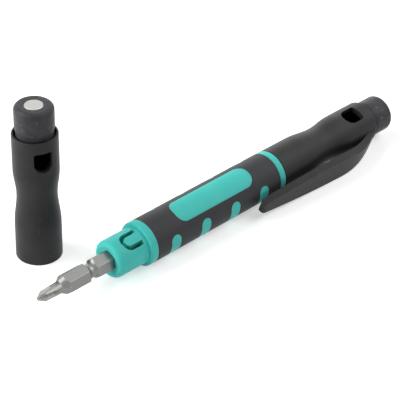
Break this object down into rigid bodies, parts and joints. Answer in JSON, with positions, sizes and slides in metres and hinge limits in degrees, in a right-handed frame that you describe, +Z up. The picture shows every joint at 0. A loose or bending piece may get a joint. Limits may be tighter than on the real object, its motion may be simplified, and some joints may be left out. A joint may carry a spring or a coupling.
{
  "type": "pocket screwdriver",
  "caption": "Pocket screwdriver with a rubber-gripped handle, reversible hex bits held in both ends, and slide-off caps with a pocket clip and disc magnets.",
  "frame": {"origin": "middle of the footprint of the lying driver and the standing cap, on the table they rest on", "axes": "+X along the driver towards its closed tail end, so the front bit points to -X; +Z up from the table"},
  "size_m": [0.1624, 0.0486, 0.0573],
  "materials": {
    "core_plastic": "moulded nylon with a fine satin surface",
    "grip_rubber": "soft moulded rubber, satin",
    "bit_steel": "satin nickel-plated steel",
    "cap_plastic": "moulded nylon, satin",
    "plug_plastic": "moulded nylon, satin",
    "magnet_metal": "nickel-plated disc, satin"
  },
  "bodies": {
    "handle": {"handle_core": "core_plastic", "grip_sleeve": "grip_rubber"},
    "front_bit": {"front_bit": "bit_steel"},
    "rear_bit": {"rear_bit": "bit_steel"},
    "tail_cap": {"tail_cap_sleeve": "cap_plastic", "tail_cap_plug": "plug_plastic", "tail_cap_magnet": "magnet_metal"},
    "front_cap": {"front_cap_sleeve": "cap_plastic", "front_cap_plug": "plug_plastic", "front_cap_magnet": "magnet_metal"}
  },
  "joints": [
    {"name": "front_bit_slide", "type": "slide", "parent": "handle", "child": "front_bit", "axis": [-1, 0, 0], "range_m": [0, 0.03]},
    {"name": "rear_bit_slide", "type": "slide", "parent": "handle", "child": "rear_bit", "axis": [1, 0, 0], "range_m": [0, 0.03]},
    {"name": "tail_cap_slide", "type": "slide", "parent": "rear_bit", "child": "tail_cap", "axis": [1, 0, 0], "range_m": [0, 0.045]},
    {"name": "front_cap_lift", "type": "slide", "parent": "handle", "child": "front_cap", "axis": [0, 0, 1], "range_m": [0, 0.06]}
  ]
}
